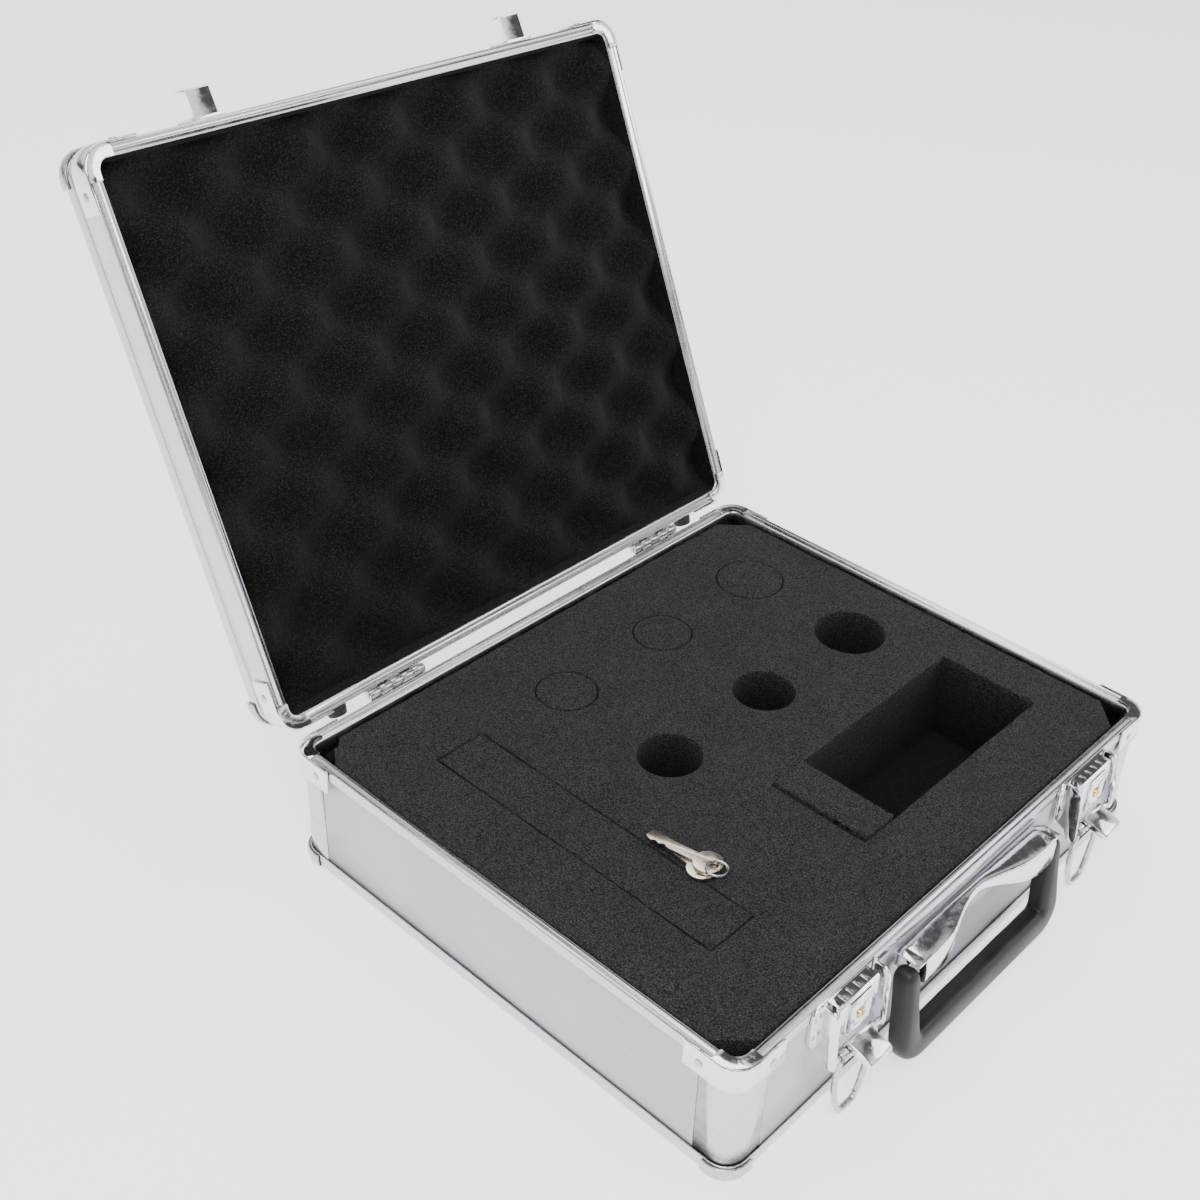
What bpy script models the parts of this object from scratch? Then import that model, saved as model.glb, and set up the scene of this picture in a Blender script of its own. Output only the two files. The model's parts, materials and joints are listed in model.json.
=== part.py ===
"""Telescope carry case: a shallow aluminium-edged case standing open, with its foam, keys and catches.

Metres, +Z up.  The front (handle and latches) faces -Y, the hinges are at +Y, and the origin is the
centre of the base on the ground.  Lid pieces are drawn as if the lid were shut and are hung on the
hinge axis, which holds them turned back by LID_OPEN.
"""
import bpy
import bmesh
from math import acos, cos, pi, radians, sin, tau
from mathutils import Matrix, Vector

for item in list(bpy.data.objects):
    bpy.data.objects.remove(item, do_unlink=True)

MM = 0.001

# ---- driving dimensions, millimetres -------------------------------------------------------------
GAP = 0.3                     # clearance between pieces that touch
WIDTH, DEPTH = 315.0, 270.0   # outside of the rim
HX, HY = WIDTH / 2, DEPTH / 2
CORNER_R = 11.0               # plan radius of every corner
CORNER_SEG = 6
BASE_H = 68.0                 # ground to rim top
LID_H = 26.2                  # lid rim plane to the top of its edge trim
SEAM = 0.4                    # between the two rims when shut
LID_Z = BASE_H + SEAM         # height of the lid's rim plane when shut
LID_OPEN = radians(113.0)
AXIS_Y, AXIS_Z = HY + 2.3, BASE_H + 1.0     # hinge axis

SKIN = 1.0                    # wall face set in from the rim face
WALL = 3.9                    # wall thickness
POST_LEG = 20.0               # each leg of a corner post
TRIM_H = 8.4                  # height of the bottom trim
TRIM_FOOT = 10.0              # how far the trim reaches under the case
TRIM_T = 2.2
FLOOR_Z0, FLOOR_Z1 = 2.5, 6.0
WALL_TOP = BASE_H - 2.9
CAP_T = 0.9                   # sheet of the corner caps
CAP_LEG = 14.0                # bottom and top corner caps
RIM_CAP_LEG = 27.0
RIM_CAP_H = 13.0
RIM_CAP_TOP = 14.0            # how far the turned-in flange of a rim cap reaches along the rim

FOAM_INSET = 7.6
FOAM_TOP = BASE_H - 3.5
FOAM_FLOOR = FLOOR_Z1 + GAP
FOAM_CHAMFER = 14.0
PLUG_GAP = 0.5
WELL_FLOOR = 16.0             # height of the bottom of every opening in the foam
HOLE_Y, SPARE_Y = 10.0, 78.0
HOLE_COLUMNS = ((-35.0, 15.6), (35.0, 15.6), (106.0, 18.5))     # centre x and radius
STRIP = (-114.5, -86.5, -84.0, 83.5)          # x0, x1, y0, y1
POCKET = (-17.5, 124.0, -90.5, -37.0)
LEDGE_X1 = 5.5
LEDGE_RISE = 1.2

EGG_CELL = 25.0               # peak to valley along either side of the lid foam
EGG_STEP = 4                  # mesh cells to one spacing
EGG_ROW_Y = -12.0             # a row of peaks, one of them on the middle line
EGG_PEAK, EGG_VALLEY = 3.0, 15.0
LID_FOAM_BACK = 20.7
LID_FOAM_INSET = 6.4

HARDWARE_X = 93.0             # latches and hinges stand this far either side of the middle
HINGE_W = 34.0
KNUCKLES = 5
KNUCKLE_R, KNUCKLE_BORE = 2.0, 1.1
PIN_R, PIN_GRIP = 0.8, 0.7    # the pin is swaged into the knuckles of the base leaf
LEAF_H = 14.5

HANDLE_TILT = radians(5.0)
PIVOT_OUT, PIVOT_Z = 7.5, 50.0
GRIP_HALF, GRIP_INNER = 61.0, 51.6      # outer and inner faces of the arms
GRIP_DROP, BAR_TOP = 49.5, 34.5         # pivot to the lower and upper edges of the bar
GRIP_T = 11.0
GRIP_R, GRIP_INNER_R = 13.0, 6.0
BRACKET_HALF, SHELF_HALF = 51.0, 56.0
BRACKET_Z = 58.6
BRACKET_OUT = 13.5
BRACKET_T = 1.0

LATCH_HALF, FLANGE_HALF = 17.5, 21.5
CHEEK_T = 1.2
LATCH_Z0, LATCH_Z1 = 46.5, 70.4
PAN_HALF, PAN_OUT = 13.0, 8.0
HOUSING_HALF, HOUSING_OUT = 7.0, 9.6
LOCK_Z, LOCK_R, LOCK_OUT = 59.0, 2.4, 10.2
AXLE_OUT, AXLE_Z, AXLE_R = 9.5, 41.5, 1.3
EYE_R = 2.9                   # of the lever's hub and of the eyes of the wire loop
LEVER_HALF, LEVER_END = 7.2, 22.6
LOOP_LEN, WIRE_R = 38.5, 1.4
LOOP_HALF, LOOP_END_HALF = 11.4, 6.2

STRIKE_HALF = 8.5
LEDGE_HALF, LEDGE_T = 3.6, 1.4
LIP_HALF, LIP_RISE, LIP_DROP = 7.0, 2.8, 4.0
HOOK_HALF, HOOK_H = 6.0, 5.4
STRIKE_Z0, STRIKE_Z1 = 70.8, 84.2
CATCH_Z = 78.2                # top of the ledge that holds the wire
CATCH_OUT = 13.7

FOOT_X, FOOT_R, FOOT_H = 124.4, 5.6, 6.0
BASE_FOOT_Z = 34.0
LID_FOOT_Z = LID_Z + 8.6

KEY_T = 1.6
RING_X, RING_Y = -80.6, -57.8
RING_R, RING_WIRE = 4.6, 0.6


# ---- small makers --------------------------------------------------------------------------------
def material(name, colour, metallic, roughness):
    """One Principled material for one piece."""
    mat = bpy.data.materials.new(name + "_mat")
    mat.use_nodes = True
    shader = mat.node_tree.nodes["Principled BSDF"]
    shader.inputs["Base Color"].default_value = (*colour, 1.0)
    shader.inputs["Metallic"].default_value = metallic
    shader.inputs["Roughness"].default_value = roughness
    mat.diffuse_color = (*colour, 1.0)
    return mat


PANEL = ((0.55, 0.57, 0.60), 0.25, 0.42)
ALUMINIUM = ((0.78, 0.79, 0.80), 0.95, 0.30)
CHROME = ((0.86, 0.86, 0.87), 1.0, 0.14)
STEEL = ((0.66, 0.66, 0.66), 1.0, 0.26)
BRASS = ((0.80, 0.62, 0.30), 1.0, 0.28)
FOAM = ((0.035, 0.035, 0.038), 0.0, 0.95)
LID_FOAM = ((0.012, 0.012, 0.012), 0.0, 0.95)
PLASTIC = ((0.030, 0.031, 0.033), 0.0, 0.42)
RUBBER = ((0.012, 0.012, 0.012), 0.0, 0.70)
NICKEL = ((0.62, 0.57, 0.50), 1.0, 0.30)


def hanger(name, y, z, turn=0.0):
    """An empty on an axis parallel to X; lid pieces hang on one turned back by the open angle."""
    empty = bpy.data.objects.new(name, None)
    empty.location = (0.0, y * MM, z * MM)
    empty.rotation_euler = (turn, 0.0, 0.0)
    bpy.context.scene.collection.objects.link(empty)
    return empty


def place(name, bm, parent=None, about=(0.0, 0.0, 0.0), smooth=False):
    """Link a mesh drawn in millimetres, with its origin at `about`."""
    bmesh.ops.remove_doubles(bm, verts=bm.verts, dist=0.00005)
    bmesh.ops.recalc_face_normals(bm, faces=bm.faces)
    origin = Vector(about)
    bmesh.ops.translate(bm, verts=bm.verts, vec=-origin)
    bmesh.ops.scale(bm, verts=bm.verts, vec=(MM, MM, MM))
    mesh = bpy.data.meshes.new(name)
    bm.to_mesh(mesh)
    bm.free()
    obj = bpy.data.objects.new(name, mesh)
    bpy.context.scene.collection.objects.link(obj)
    if parent is not None:
        obj.parent = parent
        origin = origin - parent.location / MM
    obj.location = origin * MM
    for face in mesh.polygons:
        face.use_smooth = smooth
    if smooth:
        mesh.set_sharp_from_angle(angle=radians(38.0))
    return obj


def finish(obj, look):
    obj.data.materials.append(material(obj.name, *look))
    return obj


def bevel(obj, width, segments=2):
    mod = obj.modifiers.new("edges", 'BEVEL')
    mod.width = width * MM
    mod.segments = segments
    mod.limit_method = 'ANGLE'
    mod.angle_limit = radians(40.0)
    return obj


def boolean(obj, others, operation):
    """Join or cut a piece with helper solids, which stay in the scene as wires."""
    for index, other in enumerate(others):
        other.hide_render = True
        other.display_type = 'WIRE'
        mod = obj.modifiers.new("%s_%d" % (operation.lower(), index), 'BOOLEAN')
        mod.operation = operation
        mod.solver = 'EXACT'
        mod.object = other
    return obj


def box(x0, x1, y0, y1, z0, z1):
    bm = bmesh.new()
    bmesh.ops.create_cube(bm, size=1.0)
    for vert in bm.verts:
        vert.co = Vector((x0 if vert.co.x < 0 else x1, y0 if vert.co.y < 0 else y1,
                          z0 if vert.co.z < 0 else z1))
    return bm


def loft(loops, closed=False):
    """Skin a list of equal-length loops; the two ends are filled unless the skin closes on itself."""
    bm = bmesh.new()
    rows = [[bm.verts.new(p) for p in loop] for loop in loops]
    count = len(rows[0])
    spans = len(rows) if closed else len(rows) - 1
    for i in range(spans):
        a, b = rows[i], rows[(i + 1) % len(rows)]
        for j in range(count):
            k = (j + 1) % count
            bm.faces.new((a[j], a[k], b[k], b[j]))
    if not closed:
        bm.faces.new(list(reversed(rows[0])))
        bm.faces.new(rows[-1])
    return bm


def arc(cx, cy, r, a0, a1, steps):
    return [(cx + r * cos(radians(a0 + (a1 - a0) * i / steps)),
             cy + r * sin(radians(a0 + (a1 - a0) * i / steps))) for i in range(steps + 1)]


def rounded_rectangle(hx, hy, r):
    """Anticlockwise outline; an inset deeper than the corner radius keeps a tight corner."""
    points = []
    for sx, sy, start in ((1, 1, 0), (-1, 1, 90), (-1, -1, 180), (1, -1, 270)):
        points += arc(sx * (hx - r), sy * (hy - r), r, start, start + 90, CORNER_SEG)
    return points


def ring(profile):
    """A frame running round the case: each (inset, z) of the profile becomes one loop."""
    loops = []
    for inset, z in profile:
        outline = rounded_rectangle(HX - inset, HY - inset, max(CORNER_R - inset, 0.6))
        loops.append([(x, y, z) for x, y in outline])
    return loft(loops, closed=True)


def corner(profile, leg, sx, sy):
    """The same kind of frame, kept to one corner and reaching `leg` along each side."""
    loops = []
    for inset, z in profile:
        r = max(CORNER_R - inset, 0.6)
        path = [(HX - leg, HY - inset)]
        path += list(reversed(arc(HX - inset - r, HY - inset - r, r, 0, 90, CORNER_SEG)))
        path.append((HX - inset, HY - leg))
        loops.append([(sx * x, sy * y, z) for x, y in path])
    return loft([list(station) for station in zip(*loops)])


def prism(profile, x0, x1):
    """Sheet profile given as (y, z), drawn out along X."""
    return loft([[(x, y, z) for y, z in profile] for x in (x0, x1)])


def cylinder(centre, r0, r1, length, axis, steps=24):
    """Round bar or cone starting at `centre` and running along `axis` (a letter with its sign)."""
    bm = loft([[(r * cos(tau * i / steps), r * sin(tau * i / steps), z) for i in range(steps)]
               for r, z in ((r0, 0.0), (r1, length))])
    turn = {"+z": Matrix(), "-y": Matrix.Rotation(pi / 2, 4, 'X'), "+y": Matrix.Rotation(-pi / 2, 4, 'X'),
            "+x": Matrix.Rotation(pi / 2, 4, 'Y')}[axis]
    bmesh.ops.transform(bm, matrix=Matrix.Translation(Vector(centre)) @ turn, verts=bm.verts)
    return bm


def sheet_curl(bore, foot, end_angle, side):
    """Leaf of a hinge: a flat strip whose top curls round the axis; side -1 turns it upside down."""
    outer = [(AXIS_Y - KNUCKLE_R, AXIS_Z + side * foot)]
    inner = [(AXIS_Y - bore, AXIS_Z + side * foot)]
    steps = 14
    for i in range(steps + 1):
        a = pi - (pi - end_angle) * i / steps
        outer.append((AXIS_Y + KNUCKLE_R * cos(a), AXIS_Z - side * KNUCKLE_R * sin(a)))
        inner.append((AXIS_Y + bore * cos(a), AXIS_Z - side * bore * sin(a)))
    return outer + list(reversed(inner))


def sweep(path, normals, sections, closed=False):
    """Carry a section along a path; each section lists (across, along the normal) offsets."""
    loops = []
    count = len(path)
    for i, (point, normal, section) in enumerate(zip(path, normals, sections)):
        ahead = Vector(path[(i + 1) % count] if closed or i + 1 < count else point)
        behind = Vector(path[i - 1] if closed or i > 0 else point)
        tangent = (ahead - behind).normalized()
        normal = Vector(normal)
        across = tangent.cross(normal).normalized()
        loops.append([Vector(point) + across * u + normal * v for u, v in section])
    return loft(loops, closed)


def round_section(r, steps=10):
    return [(r * cos(tau * i / steps), r * sin(tau * i / steps)) for i in range(steps)]


SIDES = (("left", -1), ("right", 1))
CORNERS = (("front_left", -1, -1), ("front_right", 1, -1), ("rear_left", -1, 1), ("rear_right", 1, 1))

# ---- base shell ----------------------------------------------------------------------------------
inner = SKIN + WALL
floor_x, floor_y = HX - inner - GAP, HY - inner - GAP
rebate_x, rebate_y = HX - TRIM_FOOT - GAP, HY - TRIM_FOOT - GAP
upper = rounded_rectangle(floor_x, floor_y, CORNER_R - inner)
lower = rounded_rectangle(rebate_x, rebate_y, GAP)
# The floor board rests on the trim and is rebated, so that its underside is flush with it.
floor = loft([[(x, y, z) for x, y in outline] for outline, z in
              ((lower, 0.0), (lower, FLOOR_Z0), (upper, FLOOR_Z0), (upper, FLOOR_Z1))])
finish(place("base_floor_panel", floor), PANEL)

run_x, run_y = HX - POST_LEG - GAP, HY - POST_LEG - GAP
for name, y in (("front", -1), ("rear", 1)):
    y0, y1 = sorted((y * (HY - SKIN), y * (HY - inner)))
    finish(place("base_wall_" + name, box(-run_x, run_x, y0, y1, FLOOR_Z0, WALL_TOP)), PANEL)
for name, x in SIDES:
    x0, x1 = sorted((x * (HX - SKIN), x * (HX - inner)))
    finish(place("base_wall_" + name, box(x0, x1, -run_y, run_y, FLOOR_Z0, WALL_TOP)), PANEL)

post = ((SKIN, FLOOR_Z0), (SKIN, WALL_TOP), (inner, WALL_TOP), (inner, FLOOR_Z0))
for name, sx, sy in CORNERS:
    finish(place("base_post_" + name, corner(post, POST_LEG, sx, sy), smooth=True), ALUMINIUM)

# Rim: a skirt outside the walls, two rounded ridges on top and a leg behind the walls.
skirt = SKIN - GAP
rim_top = [(0.0, -5.6), (0.0, -2.0), (0.15, -1.1), (0.6, -0.45), (1.2, -0.35), (1.9, -0.95),
           (2.5, -0.35), (3.2, 0.0), (4.0, -0.3), (4.6, -1.1), (5.6, -1.5), (6.0, -2.1)]
rim = rim_top + [(6.0, -10.0), (inner + GAP, -10.0), (inner + GAP, -2.6), (skirt, -2.6), (skirt, -6.0),
                 (0.3, -6.0)]
rim_frame = place("base_rim_frame", ring([(d, BASE_H + z) for d, z in rim]), smooth=True)
seats = []
for name, sx, sy in CORNERS:
    seat = corner(((-3.0, BASE_H - 1.4), (-3.0, BASE_H + 3.0), (8.0, BASE_H + 3.0), (8.0, BASE_H - 1.4)),
                  RIM_CAP_TOP + GAP, sx, sy)
    seats.append(place("rim_seat_" + name, seat))
boolean(rim_frame, seats, 'DIFFERENCE')
finish(rim_frame, ALUMINIUM)

# Bottom trim: a rounded angle under the edge, relieved at the corners for the caps.
trim = [(0.0, TRIM_H), (0.0, 3.0), (0.4, 1.5), (1.5, 0.4), (3.0, 0.0), (TRIM_FOOT, 0.0),
        (TRIM_FOOT, TRIM_T), (skirt, TRIM_T), (skirt, TRIM_H)]
trim_frame = place("base_bottom_trim", ring(trim), smooth=True)
seats = []
for name, sx, sy in CORNERS:
    seat = corner(((-3.0, -3.0), (-3.0, 1.2), (TRIM_FOOT + 2.0, 1.2), (TRIM_FOOT + 2.0, -3.0)),
                  CAP_LEG + GAP, sx, sy)
    seats.append(place("trim_seat_" + name, seat))
boolean(trim_frame, seats, 'DIFFERENCE')
finish(trim_frame, ALUMINIUM)

# Caps: thin formed sheet standing one gap off the trim and the rim.
cap_in, cap_out = -GAP, -GAP - CAP_T
bottom_cap = ((cap_out, TRIM_H - 0.6), (cap_out, 3.0), (-0.8, 1.2), (0.1, 0.25), (1.3, 0.0), (9.0, 0.0),
              (9.0, CAP_T), (0.4, CAP_T), (0.0, 1.35), (-0.35, 3.0), (cap_in - 0.05, TRIM_H - 0.6))
rim_cap = ((cap_out, BASE_H - RIM_CAP_H), (cap_out, BASE_H - 0.9), (-0.8, BASE_H - 0.25),
           (-0.2, BASE_H), (5.4, BASE_H), (5.4, BASE_H - CAP_T), (cap_in, BASE_H - CAP_T),
           (cap_in, BASE_H - RIM_CAP_H))
for name, sx, sy in CORNERS:
    finish(place("base_bottom_cap_" + name, corner(bottom_cap, CAP_LEG, sx, sy), smooth=True), STEEL)
    cap = place("base_rim_cap_" + name, corner(rim_cap, RIM_CAP_LEG, sx, sy), smooth=True)
    # The flange on top stops short of the ends of the skirt.
    trims = []
    for tag, x0, x1, y0, y1 in (("x", HX - 40, HX - RIM_CAP_TOP, HY - 12, HY + cap_in * -1),
                                ("y", HX - 12, HX + cap_in * -1, HY - 40, HY - RIM_CAP_TOP)):
        xs, ys = sorted((sx * x0, sx * x1)), sorted((sy * y0, sy * y1))
        trims.append(place("cap_end_%s_%s" % (tag, name), box(*xs, *ys, BASE_H - 1.6, BASE_H + 2)))
    boolean(cap, trims, 'DIFFERENCE')
    finish(cap, CHROME)

# ---- foam in the base ----------------------------------------------------------------------------
def foam_outline(inset, chamfer):
    hx, hy = HX - inset, HY - inset
    return [(hx - chamfer, -hy), (hx, -hy + chamfer), (hx, hy - chamfer), (hx - chamfer, hy),
            (-hx + chamfer, hy), (-hx, hy - chamfer), (-hx, -hy + chamfer), (-hx + chamfer, -hy)]


block = loft([[(x, y, z) for x, y in foam_outline(FOAM_INSET, FOAM_CHAMFER)]
              for z in (FOAM_FLOOR, FOAM_TOP)])
foam_block = place("foam_block", block)
wells = []
above = FOAM_TOP + 5.0
for index, (x, r) in enumerate(HOLE_COLUMNS):
    for tag, y in (("open", HOLE_Y), ("spare", SPARE_Y)):
        well = cylinder((x, y, WELL_FLOOR), r, r, above - WELL_FLOOR, "+z", 32)
        wells.append(place("well_%s_%d" % (tag, index), well))
wells.append(place("well_strip", box(*STRIP, WELL_FLOOR, above)))
wells.append(place("well_pocket", box(*POCKET, WELL_FLOOR, above)))
boolean(foam_block, wells, 'DIFFERENCE')
finish(foam_block, FOAM)

for tag, (x, r) in zip(("left", "middle", "right"), HOLE_COLUMNS):
    r -= PLUG_GAP
    plug = cylinder((x, SPARE_Y, WELL_FLOOR + GAP), r, r, FOAM_TOP - WELL_FLOOR - GAP, "+z", 32)
    finish(place("foam_plug_" + tag, plug, smooth=True), FOAM)
x0, x1, y0, y1 = STRIP
strip = box(x0 + PLUG_GAP, x1 - PLUG_GAP, y0 + PLUG_GAP, y1 - PLUG_GAP, WELL_FLOOR + GAP, FOAM_TOP)
finish(place("foam_plug_strip", strip), FOAM)
x0, x1, y0, y1 = POCKET
ledge = box(x0 + 1.2, LEDGE_X1, y0 + PLUG_GAP, y1 - PLUG_GAP, WELL_FLOOR + GAP, FOAM_TOP + LEDGE_RISE)
finish(place("foam_pocket_block", ledge), FOAM)

# ---- lid -----------------------------------------------------------------------------------------
lid = hanger("lid_axis", AXIS_Y, AXIS_Z, -LID_OPEN)


def lid_piece(name, bm, smooth=False):
    return place(name, bm, parent=lid, about=(0.0, AXIS_Y, AXIS_Z), smooth=smooth)


lid_rim = [(d, LID_Z - z) for d, z in rim_top]
side_top = 16.2
lid_profile = [(0.0, LID_Z + side_top)] + lid_rim + [
    (6.0, LID_Z + 9.5), (inner + GAP, LID_Z + 9.5), (inner + GAP, LID_Z + 2.9), (SKIN, LID_Z + 2.9),
    (SKIN, LID_Z + side_top)]
lid_frame = lid_piece("lid_side_frame", ring(lid_profile), smooth=True)
seats = []
for name, sx, sy in CORNERS:
    seat = corner(((-3.0, LID_Z + 1.4), (-3.0, LID_Z - 3.0), (8.0, LID_Z - 3.0), (8.0, LID_Z + 1.4)),
                  RIM_CAP_TOP + GAP, sx, sy)
    seats.append(lid_piece("lid_seat_" + name, seat))
boolean(lid_frame, seats, 'DIFFERENCE')
finish(lid_frame, ALUMINIUM)

trim_z0 = side_top + GAP + 0.2
lid_trim = [(0.0, trim_z0), (0.0, LID_H - 3.6), (0.5, LID_H - 1.9), (1.9, LID_H - 0.5), (3.6, LID_H),
            (TRIM_FOOT, LID_H), (TRIM_FOOT, LID_H - SKIN), (3.8, LID_H - SKIN), (2.4, LID_H - 1.5),
            (1.4, LID_H - 2.6), (SKIN, LID_H - 3.8), (SKIN, trim_z0)]
finish(lid_piece("lid_edge_trim", ring([(d, LID_Z + z) for d, z in lid_trim]), smooth=True), ALUMINIUM)
panel = loft([[(x, y, LID_Z + z) for x, y in rounded_rectangle(HX - 4.8, HY - 4.8, 6.0)]
              for z in (LID_H - 5.0, LID_H - SKIN - GAP)])
finish(lid_piece("lid_top_panel", panel), PANEL)

lid_rim_cap = [(d, LID_Z + BASE_H - z) for d, z in rim_cap]
back_cap = ((cap_out, 7.8), (cap_out, 3.2), (-0.5, 1.2), (0.8, 0.3), (2.6, 0.0), (9.0, 0.0),
            (9.0, CAP_T), (3.2, CAP_T), (1.4, 1.1), (0.2, 2.0), (cap_in, 3.4), (cap_in, 7.8))
back_cap = [(d, LID_Z + LID_H + GAP + CAP_T - z) for d, z in back_cap]
for name, sx, sy in CORNERS:
    finish(lid_piece("lid_back_cap_" + name, corner(back_cap, CAP_LEG, sx, sy), True), STEEL)
    cap = lid_piece("lid_rim_cap_" + name, corner(lid_rim_cap, RIM_CAP_LEG, sx, sy), smooth=True)
    trims = []
    for tag, x0, x1, y0, y1 in (("x", HX - 40, HX - RIM_CAP_TOP, HY - 12, HY + cap_in * -1),
                                ("y", HX - 12, HX + cap_in * -1, HY - 40, HY - RIM_CAP_TOP)):
        xs, ys = sorted((sx * x0, sx * x1)), sorted((sy * y0, sy * y1))
        cut = box(*xs, *ys, LID_Z - 2, LID_Z + 1.6)
        trims.append(lid_piece("lid_cap_end_%s_%s" % (tag, name), cut))
    boolean(cap, trims, 'DIFFERENCE')
    finish(cap, CHROME)

# Egg-crate foam: staggered peaks from the product of two waves, on a plain backing.
foam_x, foam_y = HX - LID_FOAM_INSET, HY - LID_FOAM_INSET


def foam_corner(x, y):
    """Pull a point that lies in a corner of the foam back to the corner's arc."""
    over_x, over_y = abs(x) - (HX - CORNER_R), abs(y) - (HY - CORNER_R)
    reach = (over_x ** 2 + over_y ** 2) ** 0.5
    if over_x <= 0 or over_y <= 0 or reach <= CORNER_R - LID_FOAM_INSET:
        return x, y
    shrink = 1.0 - (CORNER_R - LID_FOAM_INSET) / reach
    return x - over_x * shrink * (1 if x > 0 else -1), y - over_y * shrink * (1 if y > 0 else -1)


nx, ny = round(2 * foam_x * EGG_STEP / EGG_CELL), round(2 * foam_y * EGG_STEP / EGG_CELL)
egg = bmesh.new()
grid = []
for i in range(nx + 1):
    row = []
    for j in range(ny + 1):
        x, y = foam_corner(-foam_x + 2 * foam_x * i / nx, -foam_y + 2 * foam_y * j / ny)
        wave = cos(pi * x / EGG_CELL) * cos(pi * (y - EGG_ROW_Y) / EGG_CELL)
        depth = (EGG_PEAK + EGG_VALLEY) / 2 - wave * (EGG_VALLEY - EGG_PEAK) / 2
        row.append(egg.verts.new((x, y, LID_Z + depth)))
    grid.append(row)
for i in range(nx):
    for j in range(ny):
        egg.faces.new((grid[i][j], grid[i][j + 1], grid[i + 1][j + 1], grid[i + 1][j]))
edge = ([grid[i][0] for i in range(nx)] + [grid[nx][j] for j in range(ny)]
        + [grid[i][ny] for i in range(nx, 0, -1)] + [grid[0][j] for j in range(ny, 0, -1)])
backing = [egg.verts.new((v.co.x, v.co.y, LID_Z + LID_FOAM_BACK)) for v in edge]
for k in range(len(edge)):
    m = (k + 1) % len(edge)
    egg.faces.new((edge[k], edge[m], backing[m], backing[k]))
egg.faces.new(backing)
finish(lid_piece("lid_foam", egg, smooth=True), LID_FOAM)

# ---- strikes on the lid --------------------------------------------------------------------------
front = -HY
for side, sx in SIDES:
    cx = sx * HARDWARE_X
    # Back sheet with a narrow ledge; the wide lip on the ledge holds the wire of the latch.
    sheet = [(front - GAP, STRIKE_Z0), (front - GAP, STRIKE_Z1), (front - GAP - CHEEK_T, STRIKE_Z1),
             (front - GAP - CHEEK_T, STRIKE_Z0)]
    strike = lid_piece("lid_strike_" + side, prism(sheet, cx - STRIKE_HALF, cx + STRIKE_HALF))
    lip_y = front - CATCH_OUT
    ledge = [(front - 1.0, CATCH_Z - LEDGE_T), (front - 1.0, CATCH_Z), (lip_y + 0.5, CATCH_Z),
             (lip_y + 0.5, CATCH_Z - LEDGE_T)]
    lip = [(lip_y + 1.0, CATCH_Z - LIP_DROP), (lip_y + 1.0, CATCH_Z + LIP_RISE),
           (lip_y, CATCH_Z + LIP_RISE), (lip_y, CATCH_Z - LIP_DROP)]
    # Under the ledge the hook is a box that widens towards the rim.
    hook = [[(cx + x, y, z) for x, z in ((-HOOK_HALF, low_z), (HOOK_HALF, low_z),
                                         (LEDGE_HALF, CATCH_Z - 0.5), (-LEDGE_HALF, CATCH_Z - 0.5))]
            for y, low_z in ((front - 1.0, CATCH_Z - HOOK_H), (lip_y + 0.5, CATCH_Z - HOOK_H + 1.0))]
    extras = [lid_piece("strike_ledge_" + side, prism(ledge, cx - LEDGE_HALF, cx + LEDGE_HALF)),
              lid_piece("strike_lip_" + side, prism(lip, cx - LIP_HALF, cx + LIP_HALF)),
              lid_piece("strike_hook_" + side, loft(hook))]
    boolean(strike, extras, 'UNION')
    finish(strike, CHROME)

# ---- hinges --------------------------------------------------------------------------------------
segment = HINGE_W / KNUCKLES
for side, sx in SIDES:
    x0 = sx * HARDWARE_X - HINGE_W / 2
    for owner, turn, keep, bore in (("base", -1, 0, PIN_GRIP), ("lid", 1, 1, KNUCKLE_BORE)):
        make = lid_piece if owner == "lid" else place
        strip = prism(sheet_curl(bore, LEAF_H, -radians(100.0), turn), x0, x0 + HINGE_W)
        leaf = make("hinge_%s_leaf_%s" % (owner, side), strip, smooth=True)
        notches = []
        for n in range(KNUCKLES):
            if n % 2 == keep:
                continue
            a, b = x0 + n * segment - GAP / 2, x0 + (n + 1) * segment + GAP / 2
            a, b = (a - 1.0 if n == 0 else a), (b + 1.0 if n == KNUCKLES - 1 else b)
            z0, z1 = sorted((AXIS_Z + turn * (KNUCKLE_R + GAP), AXIS_Z - turn * 4.0))
            cut = box(a, b, AXIS_Y - 4.0, AXIS_Y + 4.0, z0, z1)
            notches.append(make("knuckle_gap_%s_%s_%d" % (owner, side, n), cut))
        boolean(leaf, notches, 'DIFFERENCE')
        if owner == "base":
            pin = cylinder((x0 - 0.4, AXIS_Y, AXIS_Z), PIN_R, PIN_R, HINGE_W + 0.8, "+x", 20)
            boolean(leaf, [place("hinge_pin_" + side, pin)], 'UNION')
        finish(leaf, STEEL)

# ---- handle --------------------------------------------------------------------------------------
pivot = (0.0, front - PIVOT_OUT, PIVOT_Z)
down = Vector((0.0, -sin(HANDLE_TILT), -cos(HANDLE_TILT)))
outward = Vector((0.0, -cos(HANDLE_TILT), sin(HANDLE_TILT)))
outline = [(-GRIP_HALF, -2.4), (-GRIP_HALF, GRIP_DROP - GRIP_R)]
outline += [(-GRIP_HALF + GRIP_R - x, GRIP_DROP - GRIP_R + y) for x, y in arc(0, 0, GRIP_R, 0, 90, 7)]
outline += [(-x, y) for x, y in reversed(outline)]
outline += [(GRIP_HALF - 1.6, -4.0), (GRIP_INNER + 1.6, -4.0), (GRIP_INNER, -2.4)]
inside = [(GRIP_INNER, BAR_TOP - GRIP_INNER_R)]
inside += [(GRIP_INNER - GRIP_INNER_R + x, BAR_TOP - GRIP_INNER_R + y)
           for x, y in arc(0, 0, GRIP_INNER_R, 0, 90, 5)]
outline += inside + [(-x, y) for x, y in reversed(inside)]
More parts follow.
